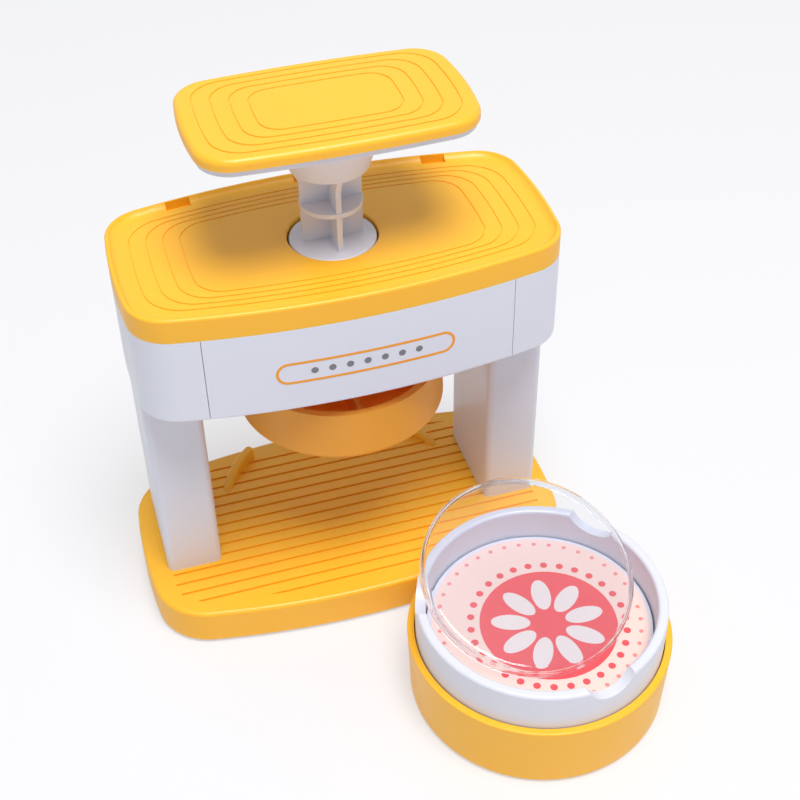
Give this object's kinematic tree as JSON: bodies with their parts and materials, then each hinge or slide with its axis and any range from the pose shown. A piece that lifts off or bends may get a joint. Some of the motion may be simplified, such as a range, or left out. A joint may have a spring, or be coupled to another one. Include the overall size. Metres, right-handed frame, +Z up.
{
  "type": "button badge maker",
  "caption": "Tabletop hand press for round button badges: base, two columns, sprung plunger with upper die, and a loose lower die with paper disc and clear cover.",
  "frame": {"origin": "on the plunger axis at table level, under the middle of the base", "axes": "+Z up along the plunger axis, +X to the right along the long side, front towards -Y"},
  "size_m": [0.1333, 0.1411, 0.1503],
  "materials": {
    "yellow_plastic": "satin",
    "white_plastic": "satin",
    "zinc_screws": "satin",
    "spring_wire": "bright",
    "rubber": "matte",
    "printed_paper": "matte",
    "clear_plastic": "clear"
  },
  "bodies": {
    "press": {"base_tray": "yellow_plastic", "base_bottom_plate": "yellow_plastic", "top_cover": "yellow_plastic", "left_side_frame": "white_plastic", "right_side_frame": "white_plastic", "left_column_rear_cover": "white_plastic", "right_column_rear_cover": "white_plastic", "head_front_panel": "white_plastic", "head_rear_panel": "white_plastic", "head_floor": "white_plastic", "plunger_guide": "white_plastic", "base_screws": "zinc_screws", "column_rear_screws": "zinc_screws", "column_foot_screws": "zinc_screws", "head_floor_screws": "zinc_screws", "guide_screws": "zinc_screws", "cover_screws": "zinc_screws", "return_spring": "spring_wire", "base_feet": "rubber"},
    "plunger": {"plunger_stem": "white_plastic", "handle_base": "white_plastic", "handle_pad": "yellow_plastic", "handle_screws": "zinc_screws", "stem_screw": "zinc_screws", "upper_die": "yellow_plastic", "upper_die_screw": "zinc_screws"},
    "lower_die": {"die_cup": "yellow_plastic", "die_core": "white_plastic", "die_core_screw": "zinc_screws", "die_springs": "spring_wire", "badge_paper": "printed_paper"},
    "ring": {"die_ring": "white_plastic"},
    "clear_cover": {"badge_clear_cover": "clear_plastic"}
  },
  "joints": [
    {"name": "plunger_press", "type": "slide", "parent": "press", "child": "plunger", "axis": [0, 0, -1], "range_m": [0, 0.021], "stiffness_N_per_m": 300, "springref_m": -0.01, "deforming": ["return_spring"]},
    {"name": "lower_die_lift", "type": "slide", "parent": "press", "child": "lower_die", "axis": [0, 0, 1], "range_m": [0, 0.03]},
    {"name": "ring_sink", "type": "slide", "parent": "lower_die", "child": "ring", "axis": [0, 0, -1], "range_m": [0, 0.004], "stiffness_N_per_m": 800, "springref_m": -0.002, "deforming": ["die_springs"]},
    {"name": "clear_cover_lift", "type": "slide", "parent": "lower_die", "child": "clear_cover", "axis": [0, 0, 1], "range_m": [0, 0.02]}
  ]
}
